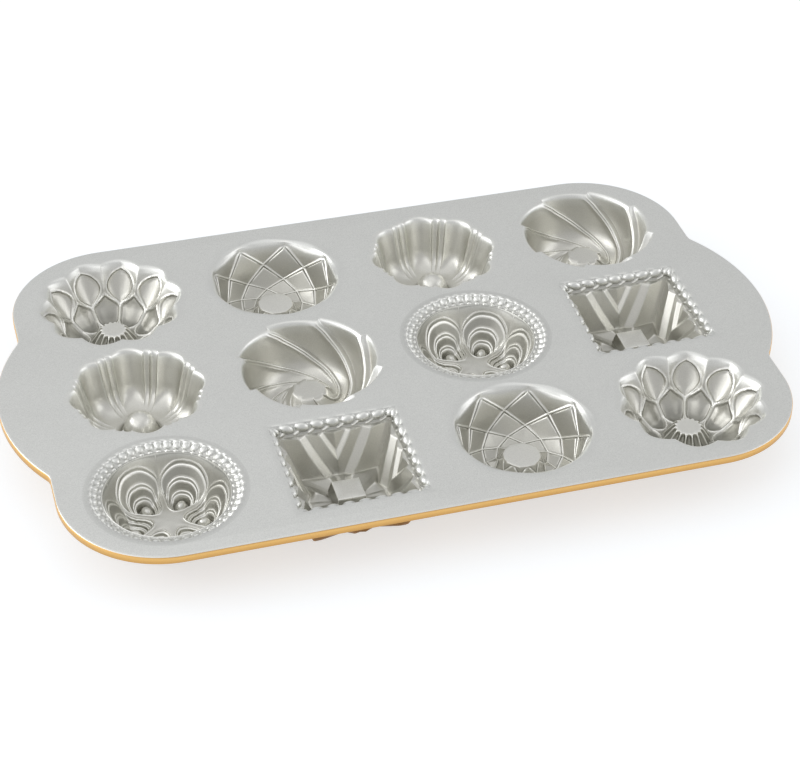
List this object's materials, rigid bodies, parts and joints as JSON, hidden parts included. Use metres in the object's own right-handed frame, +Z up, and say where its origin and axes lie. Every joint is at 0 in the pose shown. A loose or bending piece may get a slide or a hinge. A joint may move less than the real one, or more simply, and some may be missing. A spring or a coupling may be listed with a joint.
{
  "type": "fluted cake pan",
  "caption": "Rectangular cast baking pan with rounded corners, a lobed grip at each end and rows of deep fluted, swirled and faceted cake cups.",
  "frame": {"origin": "centre of the pan, on the plane that the cups' feet stand on", "axes": "+X along the pan from grip to grip, +Y towards the back row, +Z up through the cups' mouths"},
  "size_m": [0.4012, 0.249, 0.0298],
  "materials": {
    "deck_silver": "satin silver non-stick coat on top, satin gold coat on the edge and underside",
    "cup_silver": "satin silver non-stick coat inside, satin gold coat outside"
  },
  "bodies": {
    "root": {"deck": "deck_silver", "petal_cup_back_1": "cup_silver", "lattice_cup_back_2": "cup_silver", "flute_cup_back_3": "cup_silver", "swirl_cup_back_4": "cup_silver", "flute_cup_middle_1": "cup_silver", "swirl_cup_middle_2": "cup_silver", "arch_cup_middle_3": "cup_silver", "square_cup_middle_4": "cup_silver", "arch_cup_front_1": "cup_silver", "square_cup_front_2": "cup_silver", "lattice_cup_front_3": "cup_silver", "petal_cup_front_4": "cup_silver"}
  },
  "joints": []
}
